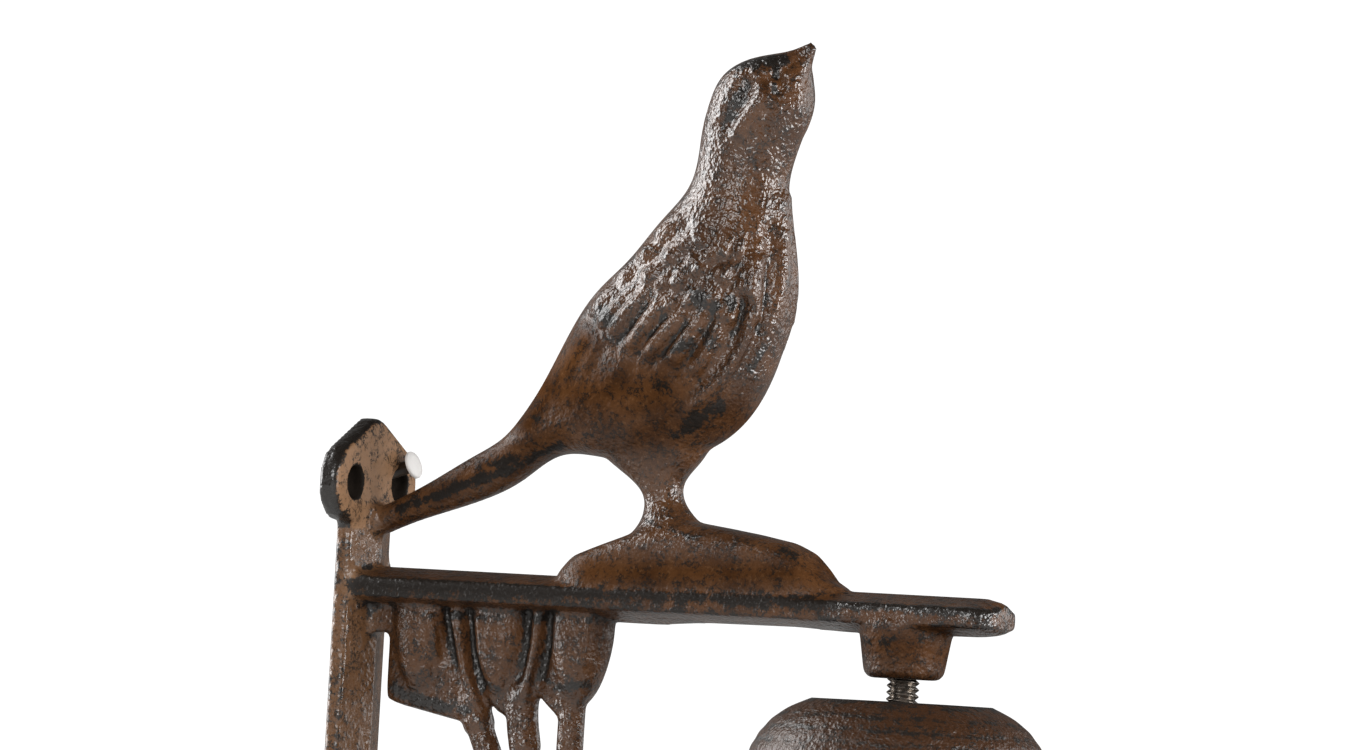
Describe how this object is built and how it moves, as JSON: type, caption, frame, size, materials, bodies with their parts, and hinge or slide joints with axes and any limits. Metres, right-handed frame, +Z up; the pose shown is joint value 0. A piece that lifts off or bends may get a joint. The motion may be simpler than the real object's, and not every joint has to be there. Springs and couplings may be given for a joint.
{
  "type": "wall bell",
  "caption": "Cast-iron wall bell: a songbird perched on a bracket arm with a leafy gusset, and a flared bell with a swinging clapper hung from a threaded eye rod.",
  "frame": {"origin": "on the wall plane at the back of the wall plate, on its centre line, level with the middle of the arm", "axes": "+X out of the wall along the arm, +Y across the plate, +Z up"},
  "size_m": [0.1586, 0.082, 0.2257],
  "materials": {
    "cast_iron": "rust-brown lacquer worn to black in the hollows, granular sand-cast skin",
    "zinc_steel": "dulled zinc plating",
    "clapper_iron": "dark brown iron"
  },
  "bodies": {
    "frame": {"bracket": "cast_iron", "bell": "cast_iron", "hanger": "zinc_steel", "washer": "zinc_steel", "nut": "zinc_steel"},
    "clapper": {"clapper": "clapper_iron"}
  },
  "joints": [
    {"name": "clapper_swing", "type": "hinge", "parent": "frame", "child": "clapper", "pos_m": [0.1176, 0, -0.0354], "axis": [0, 1, 0], "range_deg": [-31.9, 31.9]}
  ]
}
